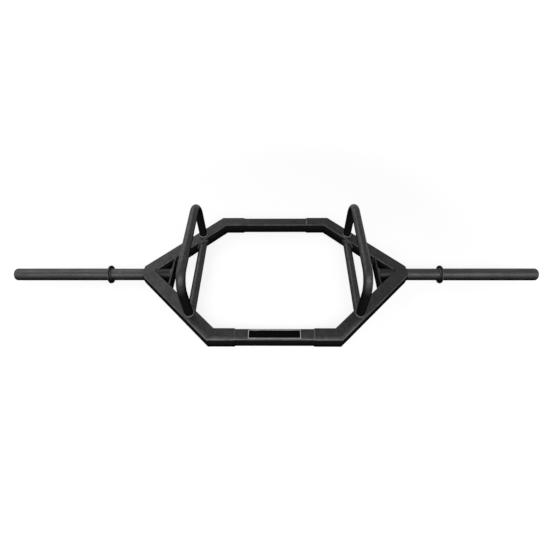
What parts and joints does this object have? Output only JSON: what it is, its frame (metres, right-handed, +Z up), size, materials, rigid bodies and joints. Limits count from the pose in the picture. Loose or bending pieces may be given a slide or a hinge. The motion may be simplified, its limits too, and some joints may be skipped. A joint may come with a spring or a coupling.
{
  "type": "hex trap bar",
  "caption": "Hexagonal weight-lifting bar of welded square tube: plate sleeves with stop collars at both ends, low and raised handles inside.",
  "frame": {"origin": "under the middle of the bar, level with the lowest point of the stop collars", "axes": "+X along the sleeves to the right end, -Y to the front, +Z up"},
  "size_m": [2.17, 0.65, 0.2683],
  "materials": {
    "frame_coat": "fine-textured black powder coat",
    "grip_coat": "satin black powder coat",
    "sleeve_coat": "satin black coat",
    "cap_plastic": "moulded black plastic",
    "plate_metal": "black anodised field, bright rim"
  },
  "bodies": {
    "root": {"brace_welds": "frame_coat", "collar_welds": "frame_coat", "cross_tube_welds": "frame_coat", "front_cross_tube": "frame_coat", "front_left_arm": "frame_coat", "front_left_corner_stub": "frame_coat", "front_right_arm": "frame_coat", "front_right_corner_stub": "frame_coat", "gusset_welds": "frame_coat", "left_brace_plate": "frame_coat", "left_gusset_plate": "frame_coat", "left_low_handle": "grip_coat", "left_raised_handle": "grip_coat", "left_sleeve": "sleeve_coat", "left_sleeve_cap": "cap_plastic", "left_stop_collar": "sleeve_coat", "low_handle_welds": "frame_coat", "name_plate": "plate_metal", "raised_handle_welds": "frame_coat", "rear_cross_tube": "frame_coat", "rear_left_arm": "frame_coat", "rear_left_corner_stub": "frame_coat", "rear_right_arm": "frame_coat", "rear_right_corner_stub": "frame_coat", "right_brace_plate": "frame_coat", "right_gusset_plate": "frame_coat", "right_low_handle": "grip_coat", "right_raised_handle": "grip_coat", "right_sleeve": "sleeve_coat", "right_sleeve_cap": "cap_plastic", "right_stop_collar": "sleeve_coat", "sleeve_welds": "frame_coat", "vent_plug": "cap_plastic"}
  },
  "joints": []
}
